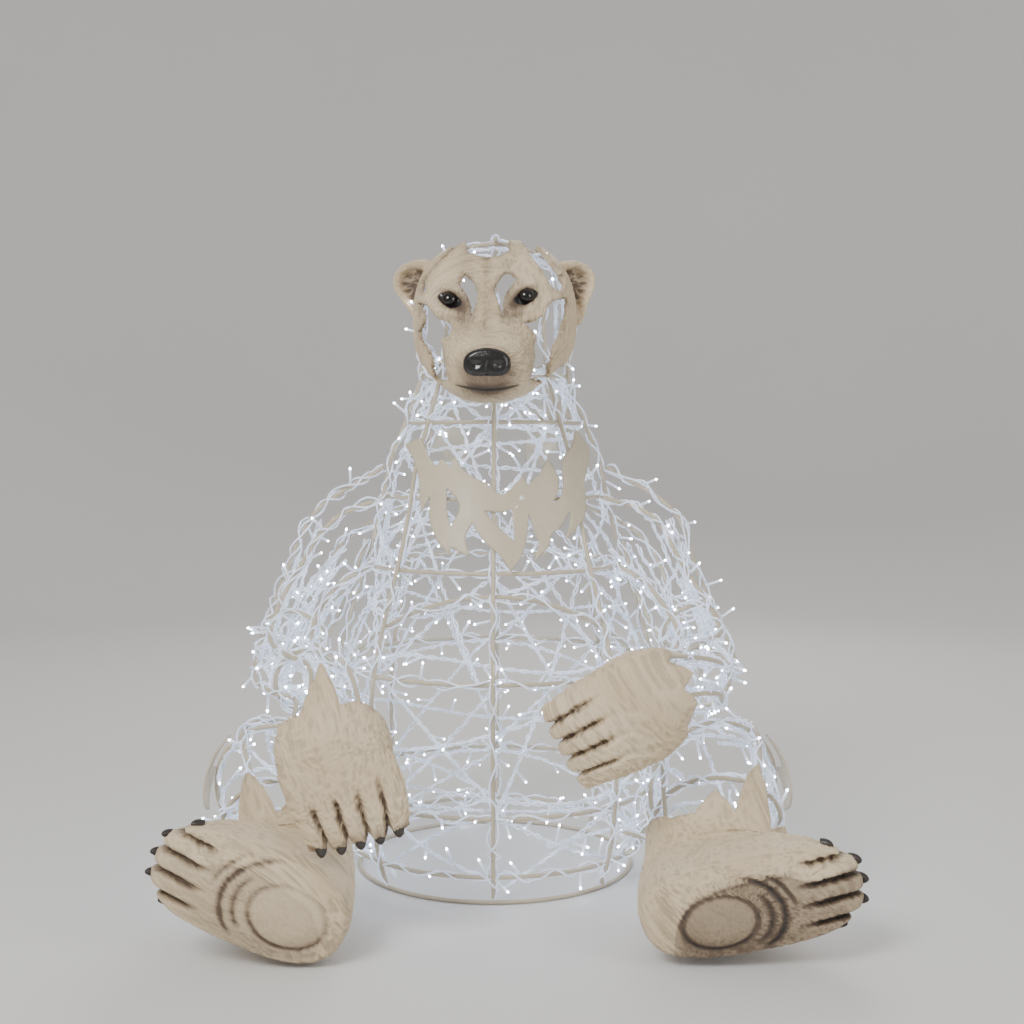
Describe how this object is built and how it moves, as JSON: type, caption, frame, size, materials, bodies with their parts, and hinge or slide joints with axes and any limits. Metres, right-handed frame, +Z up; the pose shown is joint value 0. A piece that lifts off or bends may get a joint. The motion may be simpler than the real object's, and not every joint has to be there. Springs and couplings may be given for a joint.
{
  "type": "light-up polar bear figure",
  "caption": "Sitting polar bear light figure: a welded rod cage wound inside with a light string, with a cast head mask, hands and feet and flame-cut plates.",
  "frame": {"origin": "on the floor under the middle of the bear's box", "axes": "+Z up, the bear faces -Y, its left side is +X"},
  "size_m": [0.8854, 0.696, 0.9353],
  "materials": {
    "frame_rod": "satin cream powder coat",
    "cast_resin": "matte cream resin, shaded brown-grey in the carving",
    "cut_plate": "matte cream powder coat",
    "light_cable": "clear cable lit by small cool white lamps"
  },
  "bodies": {
    "root": {"back_left_rib": "frame_rod", "back_rib": "frame_rod", "back_right_rib": "frame_rod", "base_hoop": "frame_rod", "belly_arch": "frame_rod", "belly_hoop": "frame_rod", "chest_hoop": "frame_rod", "collar": "cut_plate", "front_left_rib": "frame_rod", "front_rib": "frame_rod", "front_right_rib": "frame_rod", "head_mask": "cast_resin", "hip_hoop": "frame_rod", "left_arm_hoop_1": "frame_rod", "left_arm_hoop_2": "frame_rod", "left_arm_light_string": "light_cable", "left_arm_rod_1": "frame_rod", "left_arm_rod_2": "frame_rod", "left_arm_rod_3": "frame_rod", "left_arm_rod_4": "frame_rod", "left_arm_rod_5": "frame_rod", "left_foot": "cast_resin", "left_hand": "cast_resin", "left_knee_plate": "cut_plate", "left_leg_hoop_1": "frame_rod", "left_leg_hoop_2": "frame_rod", "left_leg_light_string": "light_cable", "left_leg_rod_1": "frame_rod", "left_leg_rod_2": "frame_rod", "left_leg_rod_3": "frame_rod", "left_leg_rod_4": "frame_rod", "left_nape_plate": "cut_plate", "left_rib": "frame_rod", "low_hoop": "frame_rod", "nape_hoop": "frame_rod", "neck_hoop": "frame_rod", "neck_light_string": "light_cable", "right_arm_hoop_1": "frame_rod", "right_arm_hoop_2": "frame_rod", "right_arm_light_string": "light_cable", "right_arm_rod_1": "frame_rod", "right_arm_rod_2": "frame_rod", "right_arm_rod_3": "frame_rod", "right_arm_rod_4": "frame_rod", "right_arm_rod_5": "frame_rod", "right_foot": "cast_resin", "right_hand": "cast_resin", "right_knee_plate": "cut_plate", "right_leg_hoop_1": "frame_rod", "right_leg_hoop_2": "frame_rod", "right_leg_light_string": "light_cable", "right_leg_rod_1": "frame_rod", "right_leg_rod_2": "frame_rod", "right_leg_rod_3": "frame_rod", "right_leg_rod_4": "frame_rod", "right_nape_plate": "cut_plate", "right_rib": "frame_rod", "shoulder_hoop": "frame_rod", "skull_hoop": "frame_rod", "trunk_light_string": "light_cable"}
  },
  "joints": []
}
